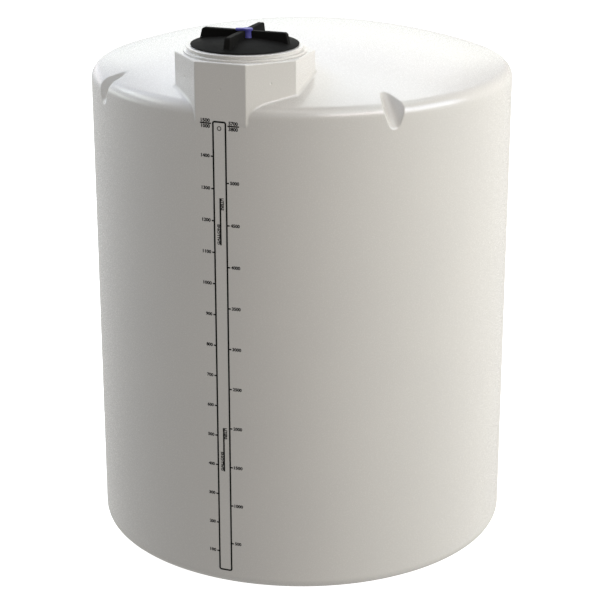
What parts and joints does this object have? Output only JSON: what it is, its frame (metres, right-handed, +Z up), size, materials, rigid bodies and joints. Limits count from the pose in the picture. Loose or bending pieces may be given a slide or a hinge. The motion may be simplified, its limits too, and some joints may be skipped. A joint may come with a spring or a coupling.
{
  "type": "upright plastic storage tank",
  "caption": "Upright round plastic liquid storage tank with a domed roof, octagonal manway collar and a screwed lid that turns and lifts off.",
  "frame": {"origin": "centre of the tank's flat floor, on the ground plane", "axes": "+Z up along the tank's axis, manway and gauge strip towards -Y"},
  "size_m": [1.88, 1.88, 2.4274],
  "materials": {
    "shell": "natural rotomoulded polyethylene, satin",
    "lid": "black moulded polypropylene, fine grain",
    "seal": "smooth",
    "vent": "violet moulded polypropylene"
  },
  "bodies": {
    "tank": {"floor": "shell", "base_knuckle": "shell", "wall_01": "shell", "wall_02": "shell", "wall_03": "shell", "wall_04": "shell", "wall_05": "shell", "wall_06": "shell", "wall_07": "shell", "wall_08": "shell", "wall_09": "shell", "wall_10": "shell", "wall_11": "shell", "wall_12": "shell", "roof_front_right": "shell", "roof_right": "shell", "roof_back_right": "shell", "roof_back_left": "shell", "roof_left": "shell", "roof_front_left": "shell", "roof_rear_1": "shell", "roof_rear_2": "shell", "roof_rear_3": "shell", "roof_rear_4": "shell", "collar_front": "shell", "collar_front_right": "shell", "collar_right": "shell", "collar_back_right": "shell", "collar_back": "shell", "collar_back_left": "shell", "collar_left": "shell", "collar_front_left": "shell", "neck_ring": "shell"},
    "seal": {"lid_seal": "seal"},
    "lid": {"lid_plate": "lid", "lid_skirt": "lid", "lid_vane_1": "lid", "lid_vane_2": "lid", "lid_vane_3": "lid", "lid_vane_4": "lid", "vent_stem": "vent", "vent_cap": "vent"}
  },
  "joints": [
    {"name": "lid_lift", "type": "slide", "parent": "tank", "child": "seal", "axis": [0, 0, 1], "range_m": [0, 0.5]},
    {"name": "lid_turn", "type": "hinge", "parent": "seal", "child": "lid", "pos_m": [0, -0.669, 2.3565], "axis": [0, 0, 1], "range_deg": [0, 360]}
  ]
}
